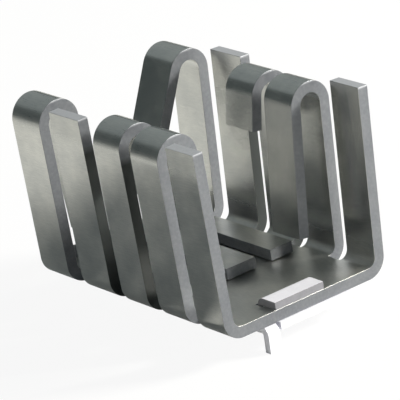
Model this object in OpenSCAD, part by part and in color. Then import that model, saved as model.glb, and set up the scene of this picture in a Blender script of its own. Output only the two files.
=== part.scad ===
/* [Sheet] */
// Thickness of the aluminium sheet
sheet_t = 1.5; // [1:0.1:1.8]
// Width across the outside of the walls, taken where they would meet the underside
width = 25.4; // [22:0.1:32]
// Height from the underside to the tops of the fins
height = 24.6; // [20:0.1:32]
// Inside radius of the bends between base and walls
wall_bend_r = 1.2; // [0.6:0.1:2]
// Outward lean of each wall, in degrees
wall_flare = 2.2; // [0:0.1:6]

/* [Fins] */
// Width of a narrow fin, along the base
fin_w = 5.3; // [4:0.1:7]
// Width of the wide straight fin, fourth from the front
wide_fin_w = 6.1; // [4:0.1:8]
// Width of the rearmost fin
rear_fin_w = 5.9; // [4:0.1:8]
// Slot between neighbouring fins
slot_w = 2.3; // [1:0.1:4]
// Slot in front of the rearmost fin
rear_slot_w = 2.9; // [1:0.1:4]
// How far the slots run into the base, past the bends that they cut through
slot_cut = 0.1; // [0.1:0.1:0.8]
// Inside radius at the crest of a folded fin
crest_r = 1.55; // [1:0.05:2.2]
// Length of the legs that the second and the rear fins hang inside the channel
long_leg_l = 16.8; // [8:0.1:18]
// Length of the third fins' inner legs, which are cut short
short_leg_l = 4.4; // [2:0.1:8]
// Inward lean of the second fins' inner legs, in degrees
second_lean = 5; // [0:0.5:12]
// Inward lean of the third fins' inner legs, in degrees
third_lean = 9; // [0:0.5:12]
// Inward lean of the rear right fin's inner leg, in degrees
rear_right_lean = 23.5; // [0:0.5:24]
// Inward lean of the rear left fin's inner leg, in degrees
rear_left_lean = 5; // [0:0.5:16]

/* [Base fingers] */
// Width of the middle finger that is folded over the base from behind
mid_finger_w = 4.6; // [3:0.1:6]
// Width of each outer finger
side_finger_w = 3.5; // [2:0.1:4.2]
// Slot between neighbouring fingers
finger_slot_w = 2.5; // [1.5:0.1:3]
// Bare length of base in front of the fingers
finger_setback = 12.4; // [9:0.1:20]
// Gap that the fold leaves between finger and base
finger_gap = 0.1; // [0.1:0.05:0.4]

/* [Solder tab] */
// Thickness of the tinned strip
tab_t = 1; // [0.6:0.1:1.2]
// Inside radius of the tab's bends
tab_bend_r = 0.2; // [0.1:0.05:0.4]
// Width of the tab's plate under the base
tab_w = 13.6; // [12:0.1:17]
// How far the tab stands out in front of the base
tab_overhang = 0.4; // [0:0.1:1]
// Width of the leg
leg_w = 1.8; // [1:0.1:2.5]
// How far the leg reaches below the surface of the board
leg_drop = 2.5; // [1.6:0.1:5]
// Relief cut between the leg's bend and the rest of the plate
relief_w = 0.3; // [0.2:0.05:0.6]
// Width of the tongue that is clinched on top of the base
tongue_w = 7.7; // [5:0.1:8]
// How far the tongue's middle lies to the left of the base's
tongue_offset = 1; // [0:0.1:1.5]
// Distance from the base's front edge to the slot that the tongue comes up through
tongue_slot_y = 2.3; // [2:0.1:7]
// Clearance around the tongue in its slot
tongue_gap = 0.2; // [0.1:0.05:0.4]

/* [Hidden] */

// Turn of one facet of a bend, in degrees
facet_turn = 6;

// A strip's flat root runs back from its first bend, past the slots beside it and into the base
root_l = slot_cut + 0.5;

// The walls turn up by this much from the base
wall_turn = 90 - wall_flare;
wall_bend_outer = wall_bend_r + sheet_t;
flat_w = width - 2 * wall_bend_outer * tan(wall_turn / 2);
wall_foot_h = wall_bend_outer * (1 - cos(wall_turn));

// A fold that brings the sheet's inner face back over itself
crest_outer = crest_r + sheet_t;
straight_l = (height - sheet_t * sin(wall_flare) - wall_foot_h) / sin(wall_turn);
folded_l = (height - crest_outer * (1 + sin(wall_flare)) - wall_foot_h) / sin(wall_turn);

// Each fin from front to back: its width and the slot behind it
fin_widths = [fin_w, fin_w, fin_w, wide_fin_w, rear_fin_w];
fin_slots = [slot_w, slot_w, slot_w, rear_slot_w, 0];
fin_count = len(fin_widths);

// The inner leg that each fin is folded down into, where none is a straight fin, and its lean
inner_legs = [0, long_leg_l, short_leg_l, 0, long_leg_l];
right_leans = [0, second_lean, third_lean, 0, rear_right_lean];
left_leans = [0, second_lean, third_lean, 0, rear_left_lean];

function sum_before(values, i) = i == 0 ? 0 : values[i - 1] + sum_before(values, i - 1);
function fin_y(i) = sum_before(fin_widths, i) + sum_before(fin_slots, i);

// The origin lies on the board's surface, under the middle of the base's front edge
base_l = fin_y(fin_count);

// The rear fold of the fingers
finger_bend_r = finger_gap / 2;
finger_bend_outer = finger_bend_r + sheet_t;
fold_y = base_l - finger_bend_outer;
finger_l = fold_y - finger_setback;
side_finger_x = mid_finger_w / 2 + finger_slot_w;
// Each finger's low edge across the base, and its width
fingers = [
    [-side_finger_x - side_finger_w, side_finger_w],
    [-mid_finger_w / 2, mid_finger_w],
    [side_finger_x, side_finger_w]
];

// The tab's plate runs back to the bend of its tongue, whose tip is flush with the base's front edge
tab_bend_outer = tab_bend_r + tab_t;
leg_bend_y = tab_bend_outer - tab_overhang;
leg_l = leg_drop + tab_t - tab_bend_outer;
tongue_web_y = tongue_slot_y + tongue_gap;
tongue_bend_y = tongue_web_y - tab_bend_r;
tongue_x = -tongue_offset - tongue_w / 2;
slot_l = tab_t + 2 * tongue_gap;
web_l = sheet_t - 2 * tab_bend_r;

// Directions along a sheet and out of its upper face, where it climbs by a heading in degrees
function ahead(heading) = [cos(heading), sin(heading)];
function upward(heading) = [-sin(heading), cos(heading)];

// Points of a folded strip's face that lies at a depth above its lower one, from one place and heading on.
// Each fold is a turn towards the upper face, the bend's inside radius and the flat length after it.
function face(folds, t, depth, i = 0, at = [0, 0], heading = 0) =
    let (
        turn = folds[i][0],
        lower_r = folds[i][1] + t,
        length = folds[i][2],
        centre = at + lower_r * upward(heading),
        count = ceil(turn / facet_turn),
        onward = heading + turn,
        far = centre - lower_r * upward(onward) + length * ahead(onward)
    )
    concat(
        [for (k = [0 : count]) centre - (lower_r - depth) * upward(heading + turn * k / count)],
        [far + depth * upward(onward)],
        i + 1 < len(folds) ? face(folds, t, depth, i + 1, far, onward) : []
    );

function reversed(list) = [for (i = [len(list) - 1 : -1 : 0]) list[i]];

// A strip of sheet that starts with a bend at the origin and runs towards +X and up, with its root behind it
module strip(folds, w, t) {
    lower = concat([[-root_l, 0]], face(folds, t, 0));
    upper = concat([[-root_l, t]], face(folds, t, t));
    translate([0, w, 0])
        rotate([90, 0, 0])
            linear_extrude(w)
                polygon(concat(lower, reversed(upper)));
}

// A fin that stands straight up from the base
module straight_fin(w) {
    strip([[wall_turn, wall_bend_r, straight_l]], w, sheet_t);
}

// A fin folded over at its crest, whose inner leg hangs down into the channel
module folded_fin(w, leg_l, lean) {
    strip([
        [wall_turn, wall_bend_r, folded_l],
        [180 + wall_flare - lean, crest_r, leg_l]
    ], w, sheet_t);
}

// The right wall's fins, or the left wall's once mirrored
module wall(leans) {
    for (i = [0 : fin_count - 1])
        translate([flat_w / 2, fin_y(i), 0])
            if (inner_legs[i] == 0)
                straight_fin(fin_widths[i]);
            else
                folded_fin(fin_widths[i], inner_legs[i], leans[i]);
}

// One finger of the base, folded forward over it from the rear edge
module finger(w) {
    translate([w, fold_y, 0])
        rotate([0, 0, 90])
            strip([[180, finger_bend_r, finger_l]], w, sheet_t);
}

// The base between the slots' ends, with the slot for the tab's tongue
module base() {
    difference() {
        translate([-flat_w / 2 + slot_cut, 0, 0])
            cube([flat_w - 2 * slot_cut, fold_y - slot_cut, sheet_t]);
        translate([tongue_x - tongue_gap, tongue_slot_y, -sheet_t])
            cube([tongue_w + 2 * tongue_gap, slot_l, 3 * sheet_t]);
    }
}

// The folded sheet, which lies on the tab's plate
module heat_sink() {
    color([0.3, 0.32, 0.32])
        translate([0, 0, tab_t]) {
            base();
            wall(right_leans);
            mirror([1, 0, 0])
                wall(left_leans);
            for (f = fingers)
                translate([f[0], 0, 0])
                    finger(f[1]);
        }
}

// The tab's plate, cut away at the left where the leg is bent down
module plate() {
    cut_w = leg_w + relief_w;
    translate([-tab_w / 2, leg_bend_y, 0])
        cube([tab_w, tongue_bend_y - leg_bend_y, tab_t]);
    translate([-tab_w / 2 + cut_w, -tab_overhang, 0])
        cube([tab_w - cut_w, tongue_bend_y + tab_overhang, tab_t]);
}

// The leg, bent down in line with the plate's front edge
module leg() {
    translate([leg_w - tab_w / 2, leg_bend_y, tab_t])
        rotate([180, 0, -90])
            strip([[90, tab_bend_r, leg_l]], leg_w, tab_t);
}

// The tongue, which comes up through the base and is folded forward onto it
module tongue() {
    translate([tongue_x + tongue_w, tongue_bend_y, 0])
        rotate([0, 0, 90])
            strip([[90, tab_bend_r, web_l], [90, tab_bend_r, tongue_bend_y]], tongue_w, tab_t);
}

// A tinned strip under the base, clinched to it by its tongue
module solder_tab() {
    color([0.85, 0.86, 0.87]) {
        plate();
        leg();
        tongue();
    }
}

heat_sink();
solder_tab();
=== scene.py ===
from math import sin, cos, tan, radians, pi

import bpy
import bmesh
from mathutils import Matrix, Vector


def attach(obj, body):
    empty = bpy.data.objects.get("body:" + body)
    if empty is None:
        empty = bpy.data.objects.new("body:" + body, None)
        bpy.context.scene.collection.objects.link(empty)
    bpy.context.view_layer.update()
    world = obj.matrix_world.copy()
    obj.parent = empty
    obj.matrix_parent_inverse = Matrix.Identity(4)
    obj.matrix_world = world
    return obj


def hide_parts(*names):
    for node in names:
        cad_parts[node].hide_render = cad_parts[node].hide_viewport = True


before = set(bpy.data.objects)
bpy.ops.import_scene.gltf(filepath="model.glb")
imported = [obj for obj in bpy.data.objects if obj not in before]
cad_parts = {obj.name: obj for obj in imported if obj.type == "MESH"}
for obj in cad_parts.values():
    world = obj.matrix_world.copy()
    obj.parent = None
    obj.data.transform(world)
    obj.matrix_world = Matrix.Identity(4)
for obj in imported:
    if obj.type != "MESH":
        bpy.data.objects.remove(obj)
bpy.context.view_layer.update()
scene = bpy.context.scene
mm = 0.001
print("frame loaded")


# Shader maths

def feed(tree, target, value):
    if isinstance(value, Sum):
        tree.links.new(value.socket, target)
    else:
        target.default_value = value


# A socket, whose sums with numbers and other sockets become Math nodes
class Sum:
    def __init__(self, tree, socket):
        self.tree = tree
        self.socket = socket

    def maths(self, operation, *values, clamp=False):
        made = self.tree.nodes.new("ShaderNodeMath")
        made.operation = operation
        made.use_clamp = clamp
        for target, value in zip(made.inputs, values):
            feed(self.tree, target, value)
        return Sum(self.tree, made.outputs[0])

    def __add__(self, other):
        return self.maths("ADD", self, other)

    def __radd__(self, other):
        return self.maths("ADD", other, self)

    def __sub__(self, other):
        return self.maths("SUBTRACT", self, other)

    def __rsub__(self, other):
        return self.maths("SUBTRACT", other, self)

    def __mul__(self, other):
        return self.maths("MULTIPLY", self, other)

    def __rmul__(self, other):
        return self.maths("MULTIPLY", other, self)

    def __truediv__(self, other):
        return self.maths("DIVIDE", self, other)

    def __rtruediv__(self, other):
        return self.maths("DIVIDE", other, self)

    def __abs__(self):
        return self.maths("ABSOLUTE", self)

    def clamped(self):
        return self.maths("ADD", self, 0.0, clamp=True)

    # 0 at low and below, 1 at high and above
    def ramp(self, low, high):
        return ((self - low) / (high - low)).clamped()


class Shader:
    def __init__(self, name):
        self.material = bpy.data.materials.new(name)
        self.material.use_nodes = True
        self.tree = self.material.node_tree
        self.tree.nodes.clear()

    # A node of any other kind, with its settings and then its sockets' values or links
    def node(self, kind, settings=None, inputs=None, output=0):
        made = self.tree.nodes.new("ShaderNode" + kind)
        for key, value in (settings or {}).items():
            setattr(made, key, value)
        for key, value in (inputs or {}).items():
            feed(self.tree, made.inputs[key], value)
        return Sum(self.tree, made.outputs[output]) if made.outputs else None

    def finish(self, surface):
        self.node("OutputMaterial", {}, {"Surface": surface})
        return self.material


# A pattern is the noise's scale and its detail
def noise(s, at, pattern):
    scale, detail = pattern
    return s.node("TexNoise", {}, {"Vector": at, "Scale": scale, "Detail": detail})


# The Mix node has its colours on sockets 6 and 7, and their mixture on output 2
def mixColour(s, factor, a, b):
    return s.node("Mix", {"data_type": "RGBA"}, {0: factor, 6: a, 7: b}, 2)


# Materials, with places in millimetres

noiseMean = 0.5
bumpDepth = 0.2


def finishMetal(s, colour, metallic, roughness, height, strength):
    bump = s.node("Bump", {}, {"Height": height, "Strength": strength, "Distance": bumpDepth * mm})
    return s.finish(s.node("BsdfPrincipled", {}, {
        "Base Color": colour, "Metallic": metallic, "Roughness": roughness, "Normal": bump}))


anodised = {
    "colour": (0.50, 0.51, 0.505, 1), "worn": (0.70, 0.70, 0.67, 1), "metallic": 1.0,
    "outside": 0.16, "inside": 0.23, "base": 0.38, "crest": 0.30,  # roughness
    "baseTop": 6.0, "baseFade": 2.5, "crestFoot": 21.6, "crestFade": 1.6,
    "blotches": (260.0, 4.0), "grain": (12.0, 2.0), "specks": (4200.0, 2.0),
    "stretch": (900.0, 60.0, 900.0),  # the grain runs from front to rear
    "patches": (0.35, 0.7), "streaks": (0.4, 0.7),
    "patchWear": 0.6, "streakWear": 0.4, "patchUneven": 0.12, "streakUneven": 0.08,
    "bump": 0.05, "blotchBump": 0.6, "grainBump": 0.25, "speckBump": 0.15,
}


# The roughness of walls, base and crests. The base is rubbed dull where a device goes in, and the crests
# where the sheet was bent.
def makeAnodised(name, wall, base, crest):
    d = anodised
    s = Shader(name)
    at = s.node("TexCoord", output="Object")
    z = s.node("SeparateXYZ", {}, {"Vector": at}, "Z") / mm
    low = ((d["baseTop"] - z) / d["baseFade"]).clamped()
    high = ((z - d["crestFoot"]) / d["crestFade"]).clamped()
    blotches = noise(s, at, d["blotches"])
    grain = noise(s, s.node("Mapping", {}, {"Vector": at, "Scale": d["stretch"]}), d["grain"])
    specks = noise(s, at, d["specks"])
    wear = blotches.ramp(*d["patches"]) * d["patchWear"] + grain.ramp(*d["streaks"]) * d["streakWear"]
    uneven = (blotches - noiseMean) * d["patchUneven"] + (grain - noiseMean) * d["streakUneven"]
    height = blotches * d["blotchBump"] + grain * d["grainBump"] + specks * d["speckBump"]
    return finishMetal(s, mixColour(s, wear, d["colour"], d["worn"]), d["metallic"],
                       wall + low * (base - wall) + high * (crest - wall) + uneven, height, d["bump"])


anodisedSheet = makeAnodised("anodisedSheet", anodised["outside"], anodised["outside"], anodised["crest"])
anodisedInside = makeAnodised("anodisedInside", anodised["inside"], anodised["base"], anodised["inside"])

# The cut edges are duller than the faces and a little violet
sheared = {
    "colour": (0.155, 0.165, 0.19, 1), "worn": (0.22, 0.23, 0.25, 1), "metallic": 0.3, "roughness": 0.42,
    "blotches": (260.0, 4.0), "specks": (2400.0, 2.0), "patches": (0.35, 0.7), "streaks": (0.4, 0.7),
    "share": 0.5, "uneven": 0.15, "bump": 0.12,
    # Painted shade: the cut edges in the middle slots, on the walls and below the crests, are darkened where
    # the fins in front shade them
    "paintedShade": (0.036, 0.042, 0.043, 1), "paintedShadeFrom": 14.0, "paintedShadeTo": 30.0, "paintedShadeBelow": 22.0, "paintedShadeBeyond": 10.0,
    # Painted highlight: the cut edges at the top of the sheet are lightened, with specks, from this height up
    "paintedHighlight": (0.46, 0.475, 0.52, 1), "paintedHighlightFrom": 25.3, "paintedHighlightFade": 0.2, "paintedHighlightLeast": 0.75, "paintedHighlightSpecks": 0.5,
}


# Painted shade darkens the cut edges in the middle slots, where the fins in front shade them, and a painted
# highlight lightens the straight fins' tops
def makeShearedEdge():
    d = sheared
    s = Shader("shearedEdge")
    at = s.node("TexCoord", output="Object")
    x, y, z = [s.node("SeparateXYZ", {}, {"Vector": at}, axis) / mm for axis in "XYZ"]
    blotches = noise(s, at, d["blotches"])
    specks = noise(s, at, d["specks"])
    wear = (blotches.ramp(*d["patches"]) + specks.ramp(*d["streaks"])) * d["share"]
    # Mask of the painted shade: the middle slots, on the walls only, below the crests
    middle = (y - d["paintedShadeFrom"]).clamped() * (d["paintedShadeTo"] - y).clamped()
    wall = (abs(x) - d["paintedShadeBeyond"]).clamped()
    paintedShade = middle * wall * (d["paintedShadeBelow"] - z).clamped()
    # Mask of the painted highlight: the top edge of the sheet
    top = ((z - d["paintedHighlightFrom"]) / d["paintedHighlightFade"]).clamped()
    paintedHighlight = (top * (d["paintedHighlightLeast"] + specks * d["paintedHighlightSpecks"])).clamped()
    colour = mixColour(s, paintedShade, mixColour(s, wear, d["colour"], d["worn"]), d["paintedShade"])
    return finishMetal(s, mixColour(s, paintedHighlight, colour, d["paintedHighlight"]), d["metallic"],
                       d["roughness"] + (blotches - noiseMean) * d["uneven"],
                       (blotches + specks) * d["share"], d["bump"])


shearedEdge = makeShearedEdge()

tinned = {
    "colour": (0.86, 0.86, 0.95, 1), "dull": (0.79, 0.79, 0.88, 1),
    "cut": (0.26, 0.26, 0.29, 1), "cutDull": (0.21, 0.21, 0.24, 1), "metallic": 0.1, "roughness": 0.34,
    "flow": (700.0, 3.0), "ripples": (5000.0, 2.0), "patches": (0.35, 0.7), "uneven": 0.2,
    "bump": 0.08, "flowBump": 0.7, "rippleBump": 0.3,
}


def makeTinned(name, colour, dull):
    d = tinned
    s = Shader(name)
    at = s.node("TexCoord", output="Object")
    flow = noise(s, at, d["flow"])
    ripples = noise(s, at, d["ripples"])
    return finishMetal(s, mixColour(s, flow.ramp(*d["patches"]), colour, dull), d["metallic"],
                       d["roughness"] + (flow - noiseMean) * d["uneven"],
                       flow * d["flowBump"] + ripples * d["rippleBump"], d["bump"])


tinnedStrip = makeTinned("tinnedStrip", tinned["colour"], tinned["dull"])
tinnedCut = makeTinned("tinnedCut", tinned["cut"], tinned["cutDull"])
print("materials made")


# Sheet metal, in millimetres until a piece is finished

near = 0.001  # two places closer than this are the same
facetTurn = 6  # degrees of a bend in one facet
edgeSegments = 3
sharpTurn = 50  # degrees from which an edge is rounded


# Quads on a grid of lines, where metal() says that there is some
def flatCells(bm, xs, ys, z, metal):
    corners = {}

    def corner(x, y):
        if (x, y) not in corners:
            corners[x, y] = bm.verts.new((x, y, z))
        return corners[x, y]

    for x0, x1 in zip(xs, xs[1:]):
        for y0, y1 in zip(ys, ys[1:]):
            if metal((x0 + x1) / 2, (y0 + y1) / 2):
                bm.faces.new([corner(x0, y0), corner(x0, y1), corner(x1, y1), corner(x1, y0)])


# The sheet's open edges inside a box, given as its lowest and highest corners
def openEdges(bm, lowest, highest):
    def inside(v):
        return all(a - near < c < b + near for a, c, b in zip(lowest, v.co, highest))

    return [e for e in bm.edges if e.is_boundary and all(inside(v) for v in e.verts)]


def onlyKind(geometry, kind):
    return [g for g in geometry if isinstance(g, kind)]


# bend and extend add metal along edges, and return the edges that it ends in
def bend(bm, edges, centre, axis, turn, steps):
    made = bmesh.ops.spin(bm, geom=edges, cent=centre, axis=axis, angle=radians(turn), steps=steps,
                          use_duplicate=False)
    return onlyKind(made["geom_last"], bmesh.types.BMEdge)


def extend(bm, edges, way):
    made = bmesh.ops.extrude_edge_only(bm, edges=edges)["geom"]
    verts = onlyKind(made, bmesh.types.BMVert)
    bmesh.ops.translate(bm, verts=verts, vec=way)
    return [e for e in onlyKind(made, bmesh.types.BMEdge) if all(v in verts for v in e.verts)]


# Bends and flats from an edge on: each is a turn in degrees, the bend's outer radius and the flat after it
def fold(bm, edges, ahead, place, folds):
    ahead, place = Vector(ahead), Vector(place)
    up = Vector((0, 0, 1))
    axis = ahead.cross(up)
    for turn, radius, length in folds:
        edges = bend(bm, edges, place + radius * up, axis, turn, round(turn / facetTurn))
        turned = Matrix.Rotation(radians(turn), 3, axis)
        place = place + radius * up - radius * (turned @ up)
        ahead, up = turned @ ahead, turned @ up
        edges = extend(bm, edges, ahead * length)
        place = place + ahead * length


def makeObject(bm, name, materials):
    mesh = bpy.data.meshes.new(name)
    bm.to_mesh(mesh)
    bm.free()
    for m in materials:
        mesh.materials.append(m)
    made = bpy.data.objects.new(name, mesh)
    scene.collection.objects.link(made)
    return made


# The outer face is turned outwards, and then gets its thickness inwards and its edges rounded
def finishSheet(bm, name, d, materials, insideOffset, nodeName):
    bmesh.ops.remove_doubles(bm, verts=bm.verts, dist=near / 2)
    bmesh.ops.recalc_face_normals(bm, faces=bm.faces)
    lowest = min(bm.faces, key=lambda f: f.calc_center_median().z)
    if lowest.normal.z > 0:
        bmesh.ops.reverse_faces(bm, faces=bm.faces)
    bmesh.ops.scale(bm, vec=(mm, mm, mm), verts=bm.verts)
    piece = makeObject(bm, name, materials)
    piece.data.polygons.foreach_set("use_smooth", [True] * len(piece.data.polygons))
    wall = piece.modifiers.new("thickness", "SOLIDIFY")
    wall.thickness = d["thickness"] * mm
    wall.offset = -1
    wall.use_even_offset = True
    wall.use_rim = True
    wall.material_offset = insideOffset
    wall.material_offset_rim = 1
    rounding = piece.modifiers.new("edges", "BEVEL")
    rounding.width = d["edge"] * mm
    rounding.segments = edgeSegments
    rounding.limit_method = "ANGLE"
    rounding.angle_limit = radians(sharpTurn)
    rounding.harden_normals = True
    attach(piece, "root")
    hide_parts(nodeName)
    return piece


# Folded sheet. Radii are those of the outer face, which is the one that gets folded here.

sheet = {
    "thickness": 1.5, "underside": 1.0, "height": 24.6, "flare": 2.2, "width": 25.4,
    "bendRadius": 2.7, "crestRadius": 3.05, "innerLegs": [0, 16.8, 4.4, 0, 16.8],
    "finWidths": [5.3, 5.3, 5.3, 6.1, 5.9], "finSlots": [2.3, 2.3, 2.3, 2.9, 0],
    "slotCut": 0.1, "rootLength": 0.6,
    "rightLeans": [0, 5, 9, 0, 23.5], "leftLeans": [0, 5, 9, 0, 5],
    "fingers": [(-8.3, -4.8), (-2.3, 2.3), (4.8, 8.3)], "fingerFold": 1.55, "fingerSetback": 12.4,
    "tongueSlotX": (-5.05, 3.05), "tongueSlotY": (2.3, 3.7), "edge": 0.04,
}


# Front and rear of each fin
def finSpans(d):
    spans, y = [], 0.0
    for width, slot in zip(d["finWidths"], d["finSlots"]):
        spans.append((y, y + width))
        y += width + slot
    return spans


# The flat part: the base, the fins' and fingers' roots and the slot for the tab's tongue
def layBase(bm, d, fins, half, foldY):
    inner = half - d["slotCut"]
    root = half - d["rootLength"]
    baseRear = foldY - d["slotCut"]
    slotLeft, slotRight = d["tongueSlotX"]
    slotFront, slotBack = d["tongueSlotY"]

    def metal(x, y):
        if slotLeft < x < slotRight and slotFront < y < slotBack:
            return False
        if abs(x) < inner and 0 < y < baseRear:
            return True
        if root < abs(x) < half and any(a < y < b for a, b in fins):
            return True
        return baseRear < y < foldY and any(a < x < b for a, b in d["fingers"])

    xs = {side * x for side in (-1, 1) for x in (half, inner, root)} | {slotLeft, slotRight}
    ys = {slotFront, slotBack, baseRear, foldY}
    flatCells(bm, sorted(xs.union(*d["fingers"])), sorted(ys.union(*fins)), d["underside"], metal)


def foldWalls(bm, d, fins, half, turn):
    z = d["underside"]
    sine = sin(radians(turn))
    aboveBend = d["height"] - d["bendRadius"] * (1 - cos(radians(turn)))
    straight = (aboveBend - d["thickness"] * sin(radians(d["flare"]))) / sine
    toCrest = (aboveBend - d["crestRadius"] * (1 + sin(radians(d["flare"])))) / sine
    for side, leans in ((1, d["rightLeans"]), (-1, d["leftLeans"])):
        for (front, rear), leg, lean in zip(fins, d["innerLegs"], leans):
            folds = [(turn, d["bendRadius"], straight)]
            if leg:
                folds = [(turn, d["bendRadius"], toCrest), (180 + d["flare"] - lean, d["crestRadius"], leg)]
            edges = openEdges(bm, (side * half, front, z), (side * half, rear, z))
            fold(bm, edges, (side, 0, 0), (side * half, 0, z), folds)


def foldFingers(bm, d, foldY):
    z = d["underside"]
    for left, right in d["fingers"]:
        edges = openEdges(bm, (left, foldY, z), (right, foldY, z))
        fold(bm, edges, (0, 1, 0), (0, foldY, z), [(180, d["fingerFold"], foldY - d["fingerSetback"])])


def buildSheet(d):
    bm = bmesh.new()
    fins = finSpans(d)
    turn = 90 - d["flare"]
    half = d["width"] / 2 - d["bendRadius"] * tan(radians(turn / 2))
    foldY = fins[-1][1] - d["fingerFold"]
    layBase(bm, d, fins, half, foldY)
    foldWalls(bm, d, fins, half, turn)
    foldFingers(bm, d, foldY)
    # The fingers turn the sheet's outside up, and they are as dull there as the base beside them
    for f in bm.faces:
        at = f.calc_center_median()
        if abs(at.x) < half - d["slotCut"] and at.z > d["underside"] + d["thickness"]:
            f.material_index = 2
    # A face's cut edges have the next material, and its other side the one after that
    materials = [anodisedSheet, shearedEdge, anodisedInside, shearedEdge, anodisedInside]
    return finishSheet(bm, "heatSinkSheet", d, materials, 2, "heat_sink")


heatSinkSheet = buildSheet(sheet)
print("sheet folded")


# Solder tab

tab = {
    "thickness": 1.0, "plateX": (-6.8, 6.8), "plateY": (-0.4, 2.3), "bendRadius": 1.2,
    "legX": (-6.8, -5.0), "relief": 0.3, "legDrop": 2.5, "legFacets": 12,
    "tongueX": (-4.85, 2.85), "web": 1.1, "edge": 0.04,
}


def buildTab(d):
    bm = bmesh.new()
    radius = d["bendRadius"]
    front, rear = d["plateY"]
    bendY = front + radius
    legLeft, legRight = d["legX"]
    left, right = d["tongueX"]
    cut = legRight + d["relief"]
    xs = sorted({*d["plateX"], legRight, cut, left, right})
    flatCells(bm, xs, [front, bendY, rear], 0.0, lambda x, y: y > bendY or x > cut)
    edges = openEdges(bm, (left, rear, 0), (right, rear, 0))
    fold(bm, edges, (0, 1, 0), (0, rear, 0), [(90, radius, d["web"]), (90, radius, rear)])
    # The leg turns down, so the face that is folded here lies on the inside of its bend
    inner = radius - d["thickness"]
    edges = openEdges(bm, (legLeft, bendY, 0), (legRight, bendY, 0))
    edges = bend(bm, edges, (0, bendY, -inner), (1, 0, 0), 90, d["legFacets"])
    extend(bm, edges, (0, 0, inner - d["legDrop"]))
    # Only the tongue has bare cut edges, and the rest is tinned all round
    for f in bm.faces:
        f.material_index = 0 if f.calc_center_median().z > d["thickness"] / 2 else 2
    materials = [tinnedStrip, tinnedCut, tinnedStrip, tinnedStrip]
    return finishSheet(bm, "solderTab", d, materials, 0, "solder_tab")


solderTab = buildTab(tab)
print("tab folded")


# Floor, in metres but for its height. The camera sees it white, and the metal mirrors it as it is lit.

floor = {"size": 3.0, "height": -2.5, "colour": (0.93, 0.93, 0.93, 1), "seen": 0.92, "mirrored": 0.04}


def makeFloorMaterial(d):
    s = Shader("studioFloor")
    seen = s.node("LightPath", output="Is Camera Ray")
    mirrored = s.node("LightPath", output="Is Glossy Ray") + s.node("LightPath", output="Is Transmission Ray")
    glow = (seen * d["seen"] + mirrored * d["mirrored"]).clamped()
    matt = s.node("BsdfDiffuse", {}, {"Color": d["colour"]})
    white = s.node("Emission", {}, {"Color": (1, 1, 1, 1), "Strength": 1.0})
    return s.finish(s.node("MixShader", {}, {0: glow, 1: matt, 2: white}))


def buildFloor(d):
    bm = bmesh.new()
    bmesh.ops.create_grid(bm, x_segments=1, y_segments=1, size=d["size"] / 2)
    bmesh.ops.translate(bm, verts=bm.verts, vec=(0, 0, d["height"] * mm))
    return makeObject(bm, "studioFloor", [makeFloorMaterial(d)])


studioFloor = buildFloor(floor)
print("floor laid")


# Light. Azimuth 0 is in front of the object and 90 on its right, and distances and sizes are in metres.

aim = Vector((0, 18, 12)) * mm
lamps = {
    "keyLight": {"azimuth": 54, "elevation": 29, "distance": 0.7, "width": 0.18, "height": 0.12,
                 "radiance": 144.0, "colour": (1, 0.975, 0.89)},
    "backPanel": {"azimuth": 165, "elevation": 30, "distance": 0.8, "width": 1.1, "height": 0.6,
                  "radiance": 0.24, "colour": (0.92, 1, 1)},
}
room = {"colour": (0.86, 1, 0.99, 1), "strength": 0.1}


def softbox(name, d):
    azimuth, elevation = radians(d["azimuth"]), radians(d["elevation"])
    way = Vector((sin(azimuth) * cos(elevation), -cos(azimuth) * cos(elevation), sin(elevation)))
    lamp = bpy.data.lights.new(name, "AREA")
    lamp.shape = "RECTANGLE"
    lamp.size, lamp.size_y = d["width"], d["height"]
    lamp.energy = d["radiance"] * pi * d["width"] * d["height"]
    lamp.color = d["colour"]
    made = bpy.data.objects.new(name, lamp)
    made.location = aim + way * d["distance"]
    made.rotation_mode = "QUATERNION"
    made.rotation_quaternion = (-way).to_track_quat("-Z", "Y")
    scene.collection.objects.link(made)


for lampName, lampValues in lamps.items():
    softbox(lampName, lampValues)

world = bpy.data.worlds.new("studio")
scene.world = world
world.use_nodes = True
background = world.node_tree.nodes["Background"]
background.inputs["Color"].default_value = room["colour"]
background.inputs["Strength"].default_value = room["strength"]


# Camera, placed in millimetres and turned in degrees as it was for the photograph

lens = {
    "place": (-219.072, -289.376, 154.374), "yaw": 35.39, "pitch": -20.74, "roll": -8.65,
    "focalPixels": 3236.9, "framePixels": 400, "sensor": 36, "clip": (0.01, 20),
}


def placeCamera(d):
    yaw, pitch, roll = radians(d["yaw"]), radians(d["pitch"]), radians(d["roll"])
    forward = Vector((sin(yaw) * cos(pitch), cos(yaw) * cos(pitch), sin(pitch)))
    level = Vector((cos(yaw), -sin(yaw), 0))
    upright = level.cross(forward)
    cameraX = cos(roll) * level + sin(roll) * upright
    cameraY = -sin(roll) * level + cos(roll) * upright
    made = bpy.data.cameras.new("photoCamera")
    made.sensor_width = d["sensor"]
    made.lens = d["focalPixels"] * d["sensor"] / d["framePixels"]
    made.clip_start, made.clip_end = d["clip"]
    camera = bpy.data.objects.new("photoCamera", made)
    turned = Matrix((cameraX, cameraY, -forward)).transposed().to_4x4()
    camera.matrix_world = Matrix.Translation(Vector(d["place"]) * mm) @ turned
    scene.collection.objects.link(camera)
    return camera


scene.camera = placeCamera(lens)
scene.view_settings.view_transform = "Standard"
print("light and camera set")
